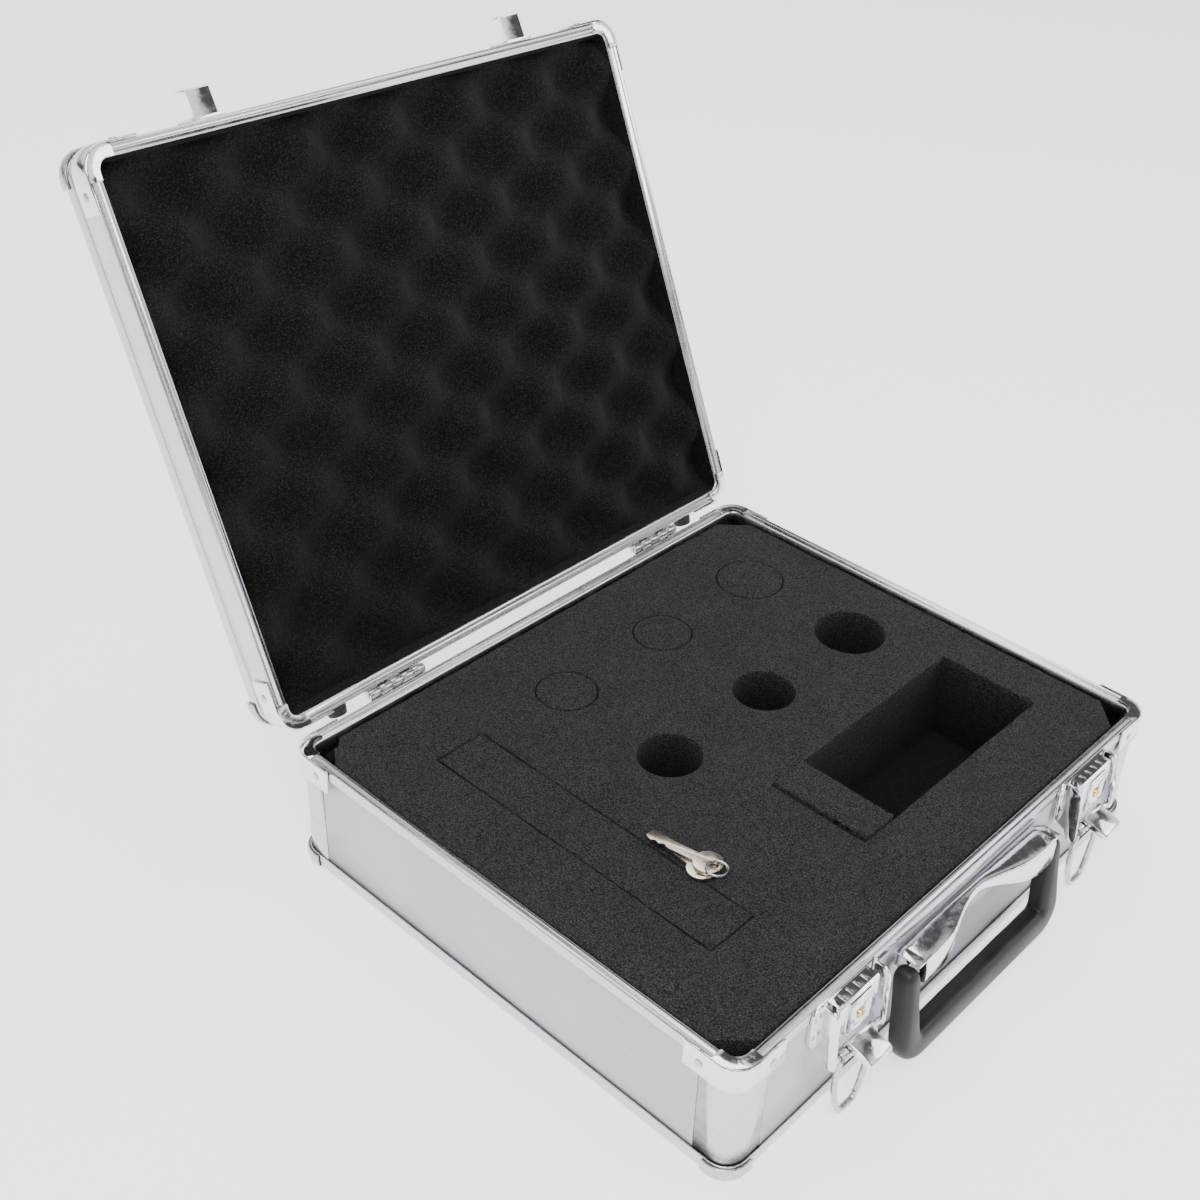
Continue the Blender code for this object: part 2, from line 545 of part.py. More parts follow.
outline += [(-GRIP_INNER, -2.4), (-GRIP_INNER - 1.6, -4.0), (-GRIP_HALF + 1.6, -4.0)]
faces = []
for offset in (-GRIP_T / 2, GRIP_T / 2):
    faces.append([Vector(pivot) + down * s + outward * offset + Vector((x, 0, 0)) for x, s in outline])
grip = bevel(place("handle_grip", loft(faces), about=pivot, smooth=True), 3.6, 3)
bosses = []
for side, sx in SIDES:
    boss_x = BRACKET_HALF - 4.0
    start = boss_x if sx > 0 else -GRIP_HALF + 4.0
    boss = cylinder((start, pivot[1], PIVOT_Z), 2.2, 2.2, GRIP_HALF - 4.0 - boss_x, "+x", 16)
    bosses.append(place("grip_boss_" + side, boss, about=pivot))
boolean(grip, bosses, 'UNION')
finish(grip, PLASTIC)

# Bracket: a sheet against the wall, a shelf with a thumb scoop and a lip, closed by two end cheeks.
wall_y = front + SKIN - GAP
stations = 24
sheet = []
for i in range(stations + 1):
    x = -BRACKET_HALF + 2 * BRACKET_HALF * i / stations
    scoop = cos(pi * min(abs(x) / 40.0, 1.0)) * 0.5 + 0.5
    out = BRACKET_OUT - 8.6 * scoop
    lip = 13.0 - 9.4 * scoop
    y_lip = front - out
    outside = [(wall_y, 46.5), (wall_y - BRACKET_T, 46.5), (wall_y - BRACKET_T, BRACKET_Z - 2.4),
               (wall_y - BRACKET_T - 0.6, BRACKET_Z - 1.2), (y_lip + BRACKET_T + 0.8, BRACKET_Z - 1.2),
               (y_lip + BRACKET_T, BRACKET_Z - 2.2), (y_lip + BRACKET_T, BRACKET_Z - lip),
               (y_lip, BRACKET_Z - lip), (y_lip, BRACKET_Z - 1.6), (y_lip + 0.5, BRACKET_Z - 0.5),
               (y_lip + 1.8, BRACKET_Z), (wall_y - 0.8, BRACKET_Z), (wall_y, BRACKET_Z - 0.9)]
    sheet.append([(x, y, z) for y, z in outside])
bracket = place("handle_bracket", loft(sheet), smooth=True)
cheeks, bores = [], []
for side, sx in SIDES:
    cheek = [(wall_y - 0.1, 45.0), (wall_y - 0.1, BRACKET_Z - 1.0), (wall_y - 1.0, BRACKET_Z - 0.1),
             (front - BRACKET_OUT + 1.6, BRACKET_Z - 0.1), (front - BRACKET_OUT + 0.1, BRACKET_Z - 1.5),
             (front - BRACKET_OUT + 0.1, 46.0), (front - BRACKET_OUT + 1.6, 45.0)]
    a, b = sorted((sx * BRACKET_HALF, sx * (BRACKET_HALF - 1.2)))
    cheeks.append(place("bracket_cheek_" + side, prism(cheek, a, b)))
    # The shelf runs on over the top of the arm.
    a, b = sorted((sx * (BRACKET_HALF - 1.0), sx * SHELF_HALF))
    cheeks.append(place("bracket_wing_" + side, box(a, b, front - BRACKET_OUT + 0.8, wall_y - 0.1,
                                                    BRACKET_Z - BRACKET_T, BRACKET_Z - 0.05)))
    start = sx * BRACKET_HALF - 4.0
    bores.append(place("bracket_bore_" + side,
                       cylinder((start, pivot[1], PIVOT_Z), 2.6, 2.6, 8.0, "+x", 16)))
boolean(bracket, cheeks, 'UNION')
boolean(bracket, bores, 'DIFFERENCE')
finish(bracket, CHROME)

# ---- latches -------------------------------------------------------------------------------------
axle_y = front - AXLE_OUT
skirt_z = BASE_H - 6.0 - GAP
for side, sx in SIDES:
    cx = sx * HARDWARE_X
    # Back sheet, a raised pan with the lock housing on it, and two cheeks that carry the axle.
    back = [(wall_y, LATCH_Z0), (wall_y, skirt_z), (front - GAP, skirt_z), (front - GAP, LATCH_Z1 - 1.0),
            (front - GAP - CHEEK_T, LATCH_Z1 - 1.0), (front - GAP - CHEEK_T, LATCH_Z0)]
    # The back sheet is a flange with rounded corners, wider than the cheeks.
    rounding = ((0.0, 4.0), (0.9, 1.6), (2.6, 0.3), (4.0, 0.0))
    stations = [(inset - FLANGE_HALF, short) for inset, short in rounding]
    stations += [(FLANGE_HALF - inset, short) for inset, short in reversed(rounding)]
    flange = [[(cx + x, y, min(max(z, LATCH_Z0 + short), LATCH_Z1 - 1.0 - short)) for y, z in back]
              for x, short in stations]
    body = place("latch_body_" + side, loft(flange))
    pan = [(front - 1.0, 49.5), (front - 1.0, LATCH_Z1 - 1.2), (front - 1.4, LATCH_Z1 - 0.8),
           (front - PAN_OUT + 0.9, LATCH_Z1 - 0.8), (front - PAN_OUT, LATCH_Z1 - 1.7),
           (front - PAN_OUT, 51.5), (front - PAN_OUT + 2.0, 49.5)]
    housing = [(front - PAN_OUT + 0.5, 50.6), (front - PAN_OUT + 0.5, 68.0),
               (front - HOUSING_OUT + 0.8, 68.0), (front - HOUSING_OUT, 67.2),
               (front - HOUSING_OUT, 52.0), (front - HOUSING_OUT + 1.2, 50.6)]
    cheek = [(wall_y - 0.1, LATCH_Z0 + 0.2), (wall_y - 0.1, skirt_z - 0.1), (front - GAP - 0.1, skirt_z),
             (front - GAP - 0.1, LATCH_Z1 - 1.6), (front - 2.5, LATCH_Z1), (front - 7.5, LATCH_Z1),
             (front - 9.4, LATCH_Z1 - 1.4), (front - 10.6, LATCH_Z1 - 3.6), (front - 11.2, 60.0),
             (front - 11.4, 50.0), (front - 12.0, 43.0), (front - 11.6, 40.2), (front - 9.5, 38.8),
             (front - 7.4, 40.0), (front - 5.6, 44.0), (front - 2.4, 46.0)]
    parts = [place("latch_pan_" + side, prism(pan, cx - PAN_HALF, cx + PAN_HALF)),
             place("latch_housing_" + side, prism(housing, cx - HOUSING_HALF, cx + HOUSING_HALF))]
    for end in (-1, 1):
        a, b = sorted((cx + end * LATCH_HALF, cx + end * (LATCH_HALF - CHEEK_T)))
        parts.append(place("latch_cheek_%s_%d" % (side, end), prism(cheek, a, b)))
    axle = cylinder((cx - LATCH_HALF + 0.5, axle_y, AXLE_Z), AXLE_R, AXLE_R, 2 * LATCH_HALF - 1.0, "+x", 16)
    parts.append(place("latch_axle_" + side, axle))
    boolean(body, parts, 'UNION')
    cuts = [cylinder((cx, wall_y + 2.0, LOCK_Z), LOCK_R + GAP, LOCK_R + GAP, 14.0, "-y", 24)]
    cuts += [box(cx + x - 0.8, cx + x + 0.8, front - 6.4, front - 2.6, LATCH_Z1 - 2.4, LATCH_Z1 + 1.0)
             for x in (-7.5, -2.5, 2.5, 7.5)]
    cuts = [place("latch_cut_%s_%d" % (side, n), cut) for n, cut in enumerate(cuts)]
    boolean(body, cuts, 'DIFFERENCE')
    finish(body, CHROME)

    lock = cylinder((cx, wall_y, LOCK_Z), LOCK_R, LOCK_R, LOCK_OUT + wall_y - front, "-y", 24)
    lock = place("latch_lock_" + side, lock, about=(cx, front, LOCK_Z), smooth=True)
    slot = box(cx - 0.4, cx + 0.4, front - LOCK_OUT - 2, front - LOCK_OUT + 3.5, LOCK_Z - 1.5, LOCK_Z + 1.5)
    boolean(lock, [place("key_slot_" + side, slot)], 'DIFFERENCE')
    finish(lock, BRASS)

    # Lever: a thick rounded thumb tab rising from its hub on the axle.
    about = (cx, axle_y, AXLE_Z)
    tab = [(front - 8.8, 43.0), (front - 8.4, 46.2), (front - 9.6, 47.6), (front - 11.0, 47.4),
           (front - LEVER_END + 1.6, 44.6), (front - LEVER_END, 43.0), (front - LEVER_END, 41.6),
           (front - LEVER_END + 1.8, 40.2), (front - 15.0, 42.0)]
    lever = bevel(place("latch_lever_" + side, prism(tab, cx - LEVER_HALF, cx + LEVER_HALF), about=about),
                  1.0, 2)
    hub = cylinder((cx - LEVER_HALF, axle_y, AXLE_Z), EYE_R, EYE_R, 2 * LEVER_HALF, "+x", 20)
    boolean(lever, [place("lever_hub_" + side, hub, about=about)], 'UNION')
    bore = cylinder((cx - 9.0, axle_y, AXLE_Z), AXLE_R + GAP, AXLE_R + GAP, 18.0, "+x", 16)
    boolean(lever, [place("lever_bore_" + side, bore, about=about)], 'DIFFERENCE')
    finish(lever, CHROME)

    # Wire loop: legs that draw in to a round end, with an eye round the axle at the top of each.
    half = [(9.6, 2.0), (9.8, 4.0), (LOOP_HALF, 7.5), (LOOP_HALF, 20.0), (10.2, 25.0), (8.9, 30.0),
            (LOOP_END_HALF + 0.6, LOOP_LEN - 3.4)]
    half += [(LOOP_END_HALF - 3.0 + x, LOOP_LEN - 3.0 + s) for x, s in arc(0, 0, 3.0, 10, 90, 4)]
    track = [(cx - x, axle_y, AXLE_Z - s) for x, s in half]
    track += [(cx + x, axle_y, AXLE_Z - s) for x, s in reversed(half)]
    wire = sweep(track, [(0.0, -1.0, 0.0)] * len(track), [round_section(WIRE_R)] * len(track))
    loop = place("latch_loop_" + side, wire, about=about, smooth=True)
    eyes, bores = [], []
    for end in (-1, 1):
        x0 = cx + (end * 9.6 - 1.5)
        eyes.append(place("loop_eye_%s_%d" % (side, end),
                          cylinder((x0, axle_y, AXLE_Z), EYE_R, EYE_R, 3.0, "+x", 20), about=about))
        bores.append(place("loop_bore_%s_%d" % (side, end),
                           cylinder((x0 - 1.0, axle_y, AXLE_Z), AXLE_R + GAP, AXLE_R + GAP, 5.0, "+x", 16),
                           about=about))
    boolean(loop, eyes, 'UNION')
    boolean(loop, bores, 'DIFFERENCE')
    finish(loop, STEEL)

# ---- feet on the hinge side ----------------------------------------------------------------------
for side, sx in SIDES:
    stand = HY + GAP
    foot = cylinder((sx * FOOT_X, HY - SKIN + GAP, BASE_FOOT_Z), FOOT_R, FOOT_R - 1.2, FOOT_H, "+y", 28)
    finish(bevel(place("base_foot_" + side, foot, smooth=True), 0.6), RUBBER)
    foot = cylinder((sx * FOOT_X, stand, LID_FOOT_Z), FOOT_R, FOOT_R - 1.0, FOOT_H, "+y", 28)
    finish(bevel(lid_piece("lid_foot_" + side, foot, True), 0.6), RUBBER)

# ---- keys on the foam ----------------------------------------------------------------------------
def key(name, x, y, z, heading):
    """Flat key: round-shouldered head, neck and a blade with three notches; length along local Y."""
    head, blade, length = 6.8, 2.6, 31.0
    neck = -acos(blade / head)
    outline = [(head * cos(neck + (pi - 2 * neck) * i / 18), head * sin(neck + (pi - 2 * neck) * i / 18))
               for i in range(19)]
    notches = [(-blade, -length + 3.0), (-blade + 1.6, -length), (blade - 1.6, -length),
               (blade, -length + 3.0), (blade - 1.1, -length + 5.0), (blade - 0.1, -length + 7.2),
               (blade - 1.3, -length + 9.4), (blade - 0.1, -length + 11.6), (blade, -length + 14.0)]
    bm = loft([[(px, py, pz) for px, py in outline + notches] for pz in (0.0, KEY_T)])
    spin = Matrix.Translation((x, y, z)) @ Matrix.Rotation(heading, 4, 'Z')
    bmesh.ops.transform(bm, matrix=spin, verts=bm.verts)
    obj = place(name, bm)
    hole = cylinder((0.0, 3.2, -1.0), 2.0, 2.0, 4.0, "+z", 16)
    bmesh.ops.transform(hole, matrix=spin, verts=hole.verts)
    boolean(obj, [place(name + "_eye", hole)], 'DIFFERENCE')
    return finish(obj, NICKEL)


key("key_lower", -82.6, -51.0, FOAM_TOP + GAP, radians(176.0))
key("key_upper", -79.4, -51.8, FOAM_TOP + 2 * GAP + KEY_T, radians(190.0))

# Wire ring lying across the heads of the keys.
ring_z = FOAM_TOP + 3 * GAP + 2 * KEY_T + RING_WIRE
ring_path = [(RING_X + RING_R * cos(tau * i / 32), RING_Y + RING_R * sin(tau * i / 32), ring_z)
             for i in range(32)]
coil = sweep(ring_path, [(0.0, 0.0, 1.0)] * 32, [round_section(RING_WIRE, 8)] * 32, closed=True)
finish(place("key_ring", coil, smooth=True), STEEL)
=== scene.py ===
"""Looks of the telescope carry case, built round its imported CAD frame.

Shapes are drawn in millimetres in the frame's own axes and scaled once, when a piece is placed.
Lid pieces are drawn as if the lid were shut and are turned back with it.
"""
import json
from math import cos, pi, radians, sin, tau

import bmesh
import bpy
from mathutils import Matrix, Vector, noise


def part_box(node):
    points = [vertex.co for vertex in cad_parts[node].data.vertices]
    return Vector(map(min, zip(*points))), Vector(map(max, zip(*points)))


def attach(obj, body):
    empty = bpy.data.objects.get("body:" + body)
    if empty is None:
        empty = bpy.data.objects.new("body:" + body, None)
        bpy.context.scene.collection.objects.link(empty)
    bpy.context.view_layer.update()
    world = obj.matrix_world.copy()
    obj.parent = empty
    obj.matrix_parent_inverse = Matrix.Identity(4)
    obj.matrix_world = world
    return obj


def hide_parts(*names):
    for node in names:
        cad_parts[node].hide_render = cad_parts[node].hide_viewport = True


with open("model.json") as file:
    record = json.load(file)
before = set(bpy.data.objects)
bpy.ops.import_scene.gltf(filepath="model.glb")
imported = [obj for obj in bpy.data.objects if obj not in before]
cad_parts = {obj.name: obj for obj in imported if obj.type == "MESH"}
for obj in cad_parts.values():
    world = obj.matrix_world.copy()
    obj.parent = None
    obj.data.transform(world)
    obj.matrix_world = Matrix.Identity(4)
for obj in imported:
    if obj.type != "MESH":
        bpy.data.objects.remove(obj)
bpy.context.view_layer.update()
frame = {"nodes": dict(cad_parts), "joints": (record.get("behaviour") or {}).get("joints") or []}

MM = 0.001
JOINTS = {joint["name"]: joint for joint in frame["joints"]}


def low(node):
    """Lowest corner of a CAD node, in millimetres."""
    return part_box(node)[0] / MM


def high(node):
    """Highest corner of a CAD node, in millimetres."""
    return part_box(node)[1] / MM


# ---- sizes of the shell ----------------------------------------------------------------------
HX, HY = high("base_rim_frame").x, high("base_rim_frame").y      # half width and depth of the rim
RIM_Z = high("base_rim_frame").z
FOAM_TOP = high("foam_block").z
AXIS = Vector(JOINTS["lid_hinge"]["pos_m"]) / MM
LID_OPEN = radians(JOINTS["lid_hinge"]["range_deg"][1])
LID_TURN = (Matrix.Translation(AXIS * MM) @ Matrix.Rotation(-LID_OPEN, 4, 'X')
            @ Matrix.Translation(-AXIS * MM))
SEAM = 0.4                   # between the two rims when the lid is shut
LID_Z = RIM_Z + SEAM         # rim plane of the lid when it is shut
CORNER_R = 11.0              # corners of the case, seen from above
SIDES = ("left", "right")
CORNERS = (("front_left", -1, -1), ("front_right", 1, -1),
           ("rear_left", -1, 1), ("rear_right", 1, 1))

# ---- placing ---------------------------------------------------------------------------------
WELD_M = 0.00001             # vertices of a CAD mesh this close are one
EASED_SEGMENTS = 2
EASED_ANGLE = 35.0           # edges sharper than this many degrees are eased


def finish(obj, look):
    """Give a piece its look as its only material, shaded smooth."""
    obj.data.materials.clear()
    obj.data.materials.append(LOOKS[look])
    obj.data.shade_smooth()


def place(name, bm, look, body, sharp=38.0):
    """Link a mesh drawn in millimetres, finished and riding on its body."""
    bmesh.ops.recalc_face_normals(bm, faces=bm.faces)
    bmesh.ops.scale(bm, verts=bm.verts, vec=(MM, MM, MM))
    if body == "lid":
        bmesh.ops.transform(bm, matrix=LID_TURN, verts=bm.verts)
    mesh = bpy.data.meshes.new(name)
    bm.to_mesh(mesh)
    bm.free()
    obj = bpy.data.objects.new(name, mesh)
    bpy.context.scene.collection.objects.link(obj)
    finish(obj, look)
    mesh.set_sharp_from_angle(angle=radians(sharp))
    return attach(obj, body)


def dress(node, look, width=0.0):
    """Finish a CAD node that stays, with its edges eased by this many millimetres."""
    obj = frame["nodes"][node]
    finish(obj, look)
    if width:
        obj.modifiers.new("weld", 'WELD').merge_threshold = WELD_M
        eased = obj.modifiers.new("edges", 'BEVEL')
        eased.width = width * MM
        eased.segments = EASED_SEGMENTS
        eased.limit_method = 'ANGLE'
        eased.angle_limit = radians(EASED_ANGLE)
        eased.harden_normals = True


# ---- mesh makers -----------------------------------------------------------------------------
def loft(loops):
    """Skin equal-length loops of points and close both ends."""
    bm = bmesh.new()
    rows = [[bm.verts.new(point) for point in loop] for loop in loops]
    count = len(rows[0])
    for a, b in zip(rows, rows[1:]):
        for j in range(count):
            k = (j + 1) % count
            bm.faces.new((a[j], a[k], b[k], b[j]))
    bm.faces.new(list(reversed(rows[0])))
    bm.faces.new(rows[-1])
    return bm


def sweep(path, normal, section):
    """Carry section(i), points given as (across, along the normal), down an open path."""
    loops = []
    last = len(path) - 1
    for i, point in enumerate(path):
        tangent = (path[min(i + 1, last)] - path[max(i - 1, 0)]).normalized()
        across = tangent.cross(normal).normalized()
        up = across.cross(tangent).normalized()
        loops.append([point + across * u + up * v for u, v in section(i)])
    return loft(loops)


# ---- materials -------------------------------------------------------------------------------
class Look:
    """A node material under construction."""

    def __init__(self, name, colour, roughness, metallic=0.0, **constants):
        self.mat = bpy.data.materials.new(name)
        self.mat.use_nodes = True
        self.tree = self.mat.node_tree
        self.shader = self.tree.nodes["Principled BSDF"]
        self.shader.inputs["Base Color"].default_value = (*colour, 1.0)
        self.shader.inputs["Roughness"].default_value = roughness
        self.shader.inputs["Metallic"].default_value = metallic
        for socket, value in constants.items():
            self.shader.inputs[socket.replace("_", " ")].default_value = value
        self.coords = self.tree.nodes.new("ShaderNodeTexCoord").outputs["Object"]

    def node(self, kind, **values):
        """A new node; each value sets an attribute, or failing that the input of that name."""
        made = self.tree.nodes.new(kind)
        for key, value in values.items():
            if hasattr(made, key):
                setattr(made, key, value)
            else:
                made.inputs[key.replace("_", " ")].default_value = value
        return made

    def link(self, a, b):
        self.tree.links.new(a, b)

    def stretched(self, scale):
        """Object coordinates in millimetres, stretched by scale."""
        mapping = self.node("ShaderNodeMapping")
        mapping.inputs["Scale"].default_value = [s / MM for s in scale]
        self.link(self.coords, mapping.inputs["Vector"])
        return mapping.outputs["Vector"]

    def noise(self, scale, detail=3.0, roughness=0.5):
        """Noise whose grain is about 1/scale millimetres; scale may differ along the axes."""
        scale = scale if isinstance(scale, tuple) else (scale,) * 3
        tex = self.node("ShaderNodeTexNoise", Scale=1.0, Detail=detail, Roughness=roughness)
        self.link(self.stretched(scale), tex.inputs["Vector"])
        return tex.outputs["Fac"]

    def cells(self, scale):
        """Distance from the nearest of many points, about 1/scale millimetres apart."""
        tex = self.node("ShaderNodeTexVoronoi", Scale=1.0)
        self.link(self.stretched((scale,) * 3), tex.inputs["Vector"])
        return tex.outputs["Distance"]

    def ramp(self, value, *stops):
        """Map a value through (position, colour or grey) stops."""
        node = self.node("ShaderNodeValToRGB")
        while len(node.color_ramp.elements) < len(stops):
            node.color_ramp.elements.new(0.5)
        for element, (position, colour) in zip(node.color_ramp.elements, stops):
            element.position = position
            colour = colour if isinstance(colour, tuple) else (colour,) * 3
            element.color = (*colour, 1.0)
        self.link(value, node.inputs["Fac"])
        return node.outputs["Color"]

    def mix(self, factor, a, b, blend='MIX'):
        """Blend colour b over colour a by a fixed factor."""
        node = self.node("ShaderNodeMix", data_type='RGBA', blend_type=blend)
        node.inputs[0].default_value = factor
        self.link(a, node.inputs[6])
        self.link(b, node.inputs[7])
        return node.outputs[2]

    def paint(self, socket, value):
        self.link(value, self.shader.inputs[socket])

    def bump(self, height, depth):
        """Relief `depth` millimetres deep, on top of any relief there already."""
        node = self.node("ShaderNodeBump", Strength=1.0, Distance=depth * MM)
        self.link(height, node.inputs["Height"])
        last = self.shader.inputs["Normal"].links
        if last:
            self.link(last[0].from_socket, node.inputs["Normal"])
        self.link(node.outputs["Normal"], self.shader.inputs["Normal"])
        return self


def panel_look():
    """Silver laminate with a fine horizontal grain."""
    look = Look("silver_laminate", (0.52, 0.55, 0.60), 0.34, 0.7, Specular_IOR_Level=0.5)
    grain = look.noise((0.02, 0.02, 3.2), 4.0, 0.6)
    cloud = look.noise(0.02, 2.0)
    tone = look.ramp(grain, (0.3, (0.34, 0.37, 0.42)), (0.7, (0.50, 0.53, 0.58)))
    look.paint("Base Color", look.mix(0.25, tone, look.ramp(cloud, (0.3, 0.40), (0.7, 0.56))))
    look.paint("Roughness", look.ramp(grain, (0.2, 0.30), (0.8, 0.46)))
    return look.bump(grain, 0.02).mat


def aluminium_look():
    """Satin extrusion: long drawn lines and faint handling marks."""
    look = Look("satin_aluminium", (0.74, 0.75, 0.77), 0.28, 1.0, Anisotropic=0.35)
    drawn = look.noise((0.03, 0.03, 5.0), 4.0, 0.65)
    marks = look.noise(0.09, 5.0, 0.6)
    look.paint("Base Color", look.ramp(drawn, (0.25, (0.46, 0.475, 0.50)), (0.75, (0.68, 0.695, 0.72))))
    look.paint("Roughness", look.mix(0.5, look.ramp(drawn, (0.2, 0.20), (0.8, 0.36)),
                                     look.ramp(marks, (0.4, 0.18), (0.7, 0.40))))
    return look.bump(drawn, 0.012).mat


def chrome_look():
    """Bright plating over pressed sheet, with slight waviness and smudges."""
    look = Look("bright_plating", (0.80, 0.80, 0.82), 0.10, 1.0)
    wavy = look.noise(0.16, 2.0)
    smudge = look.noise(0.35, 5.0, 0.6)
    fine = look.noise(3.0, 2.0)
    look.paint("Base Color", look.ramp(smudge, (0.3, (0.72, 0.72, 0.74)), (0.6, (0.84, 0.84, 0.86))))
    look.paint("Roughness", look.ramp(smudge, (0.35, 0.06), (0.75, 0.22)))
    return look.bump(wavy, 0.12).bump(fine, 0.004).mat


def steel_look():
    """Plated wire, caps, rivets and hinge sheet, a little duller than the pressings."""
    look = Look("plated_steel", (0.62, 0.62, 0.63), 0.24, 1.0)
    smudge = look.noise(0.5, 5.0, 0.65)
    fine = look.noise(4.0, 2.0)
    look.paint("Base Color", look.ramp(smudge, (0.3, (0.40, 0.40, 0.41)), (0.65, (0.60, 0.60, 0.61))))
    look.paint("Roughness", look.ramp(smudge, (0.3, 0.16), (0.75, 0.36)))
    return look.bump(fine, 0.01).mat


def brass_look():
    """Brass lock plug with turning marks."""
    look = Look("lock_brass", (0.78, 0.58, 0.25), 0.24, 1.0)
    marks = look.noise(2.0, 4.0, 0.6)
    look.paint("Base Color", look.ramp(marks, (0.3, (0.62, 0.43, 0.15)), (0.7, (0.86, 0.66, 0.30))))
    look.paint("Roughness", look.ramp(marks, (0.3, 0.16), (0.75, 0.36)))
    return look.bump(marks, 0.02).mat


def foam_look(name, dark, mid, light, grain, shade=None):
    """Open-cell foam: torn cells a few tenths of a millimetre across, some of them catching light.

    shade gives two heights in metres between which painted shade darkens the cut-outs from the face to
    their floor.
    """
    look = Look(name, mid, 0.95, 0.0, Sheen_Weight=0.03, Sheen_Roughness=0.5,
                Specular_IOR_Level=0.12)
    cells = look.cells(grain)
    fine = look.noise(grain * 1.6, 4.0, 0.7)
    clumps = look.noise(0.35, 4.0, 0.65)
    patches = look.noise(0.03, 3.0)
    tone = look.ramp(cells, (0.05, light), (0.42, mid), (0.85, dark))
    speckle = look.ramp(fine, (0.30, 0.45), (0.52, 1.0), (0.72, 1.7))
    tone = look.mix(1.0, tone, speckle, 'MULTIPLY')
    tone = look.mix(0.8, tone, look.ramp(clumps, (0.3, 0.72), (0.7, 1.28)), 'MULTIPLY')
    tone = look.mix(0.8, tone, look.ramp(patches, (0.3, 0.88), (0.7, 1.10)), 'MULTIPLY')
    # painted shade: the colour of the cut-outs gets darker with depth, towards their floor, where shade
    # falls
    if shade:
        height = look.node("ShaderNodeSeparateXYZ")
        look.link(look.coords, height.inputs["Vector"])
        depth = look.node("ShaderNodeMapRange")
        look.link(height.outputs["Z"], depth.inputs["Value"])
        depth.inputs["From Min"].default_value, depth.inputs["From Max"].default_value = shade
        painted_shade = look.ramp(depth.outputs["Result"], (0.0, 0.16), (0.75, 0.55), (1.0, 1.0))
        tone = look.mix(1.0, tone, painted_shade, 'MULTIPLY')
    look.paint("Base Color", tone)
    look.paint("Roughness", look.ramp(fine, (0.3, 0.80), (0.7, 1.0)))
    return look.bump(cells, 0.45).bump(fine, 0.35).bump(clumps, 0.5).mat


def plastic_look():
    """Moulded black grip with a fine leather-like grain, worn smoother in patches."""
    look = Look("black_moulding", (0.012, 0.012, 0.013), 0.36, 0.0, Specular_IOR_Level=0.28)
    pebble = look.cells(1.5)
    fine = look.noise(2.5, 4.0, 0.6)
    worn = look.noise(0.05, 4.0, 0.6)
    look.paint("Base Color", look.ramp(worn, (0.3, (0.008, 0.008, 0.009)), (0.75, (0.020, 0.020, 0.022))))
    look.paint("Roughness", look.ramp(worn, (0.3, 0.34), (0.7, 0.50)))
    return look.bump(pebble, 0.05).bump(fine, 0.02).mat


def rubber_look():
    """Black rubber feet, a little dusty."""
    look = Look("foot_rubber", (0.014, 0.014, 0.015), 0.62, 0.0)
    dust = look.noise(0.6, 5.0, 0.65)
    look.paint("Base Color", look.ramp(dust, (0.4, (0.010, 0.010, 0.011)), (0.8, (0.045, 0.044, 0.042))))
    look.paint("Roughness", look.ramp(dust, (0.3, 0.5), (0.7, 0.8)))
    return look.bump(dust, 0.05).mat


def nickel_look():
    """Nickel-plated key blank, brushed along its length."""
    look = Look("key_nickel", (0.58, 0.52, 0.44), 0.30, 1.0, Anisotropic=0.3)
    brushed = look.noise((4.0, 0.15, 1.0), 4.0, 0.6)
    tarnish = look.noise(0.4, 4.0, 0.6)
    bright = look.ramp(brushed, (0.3, (0.46, 0.41, 0.34)), (0.7, (0.70, 0.64, 0.55)))
    dull = look.ramp(tarnish, (0.35, (0.40, 0.33, 0.24)), (0.65, (0.66, 0.60, 0.52)))
    look.paint("Base Color", look.mix(0.5, bright, dull))
    look.paint("Roughness", look.ramp(brushed, (0.3, 0.22), (0.7, 0.42)))
    return look.bump(brushed, 0.02).mat


# heights between which the base foam's cut-outs get painted shade, darkest at the floor
WELL_FLOOR_M = 0.016         # floors of the wells and of the pocket
SHADE_TOP_M = FOAM_TOP * MM - 0.0015
LOOKS = {"panel": panel_look(), "aluminium": aluminium_look(), "chrome": chrome_look(),
         "steel": steel_look(), "brass": brass_look(),
         "foam": foam_look("charcoal_foam", (0.008, 0.008, 0.009), (0.026, 0.026, 0.028),
                           (0.085, 0.084, 0.085), 1.3, (WELL_FLOOR_M, SHADE_TOP_M)),
         "lid_foam": foam_look("black_foam", (0.0015, 0.0015, 0.0015), (0.0045, 0.004, 0.004),
                               (0.030, 0.025, 0.023), 1.1),
         "plastic": plastic_look(), "rubber": rubber_look(), "nickel": nickel_look()}

# ---- shell -----------------------------------------------------------------------------------
for node in ("base_wall_front", "base_wall_rear", "base_wall_left", "base_wall_right",
             "base_floor_panel", "lid_top_panel"):
    dress(node, "panel", 0.3)
for node in ("base_rim_frame", "base_bottom_trim", "lid_side_frame", "lid_edge_trim"):
    dress(node, "aluminium", 0.18)
for corner, _, _ in CORNERS:
    dress("base_post_" + corner, "aluminium", 0.25)
    dress("base_bottom_cap_" + corner, "steel", 0.25)
    dress("lid_back_cap_" + corner, "steel", 0.25)
    dress("base_rim_cap_" + corner, "chrome", 0.25)
    dress("lid_rim_cap_" + corner, "chrome", 0.25)

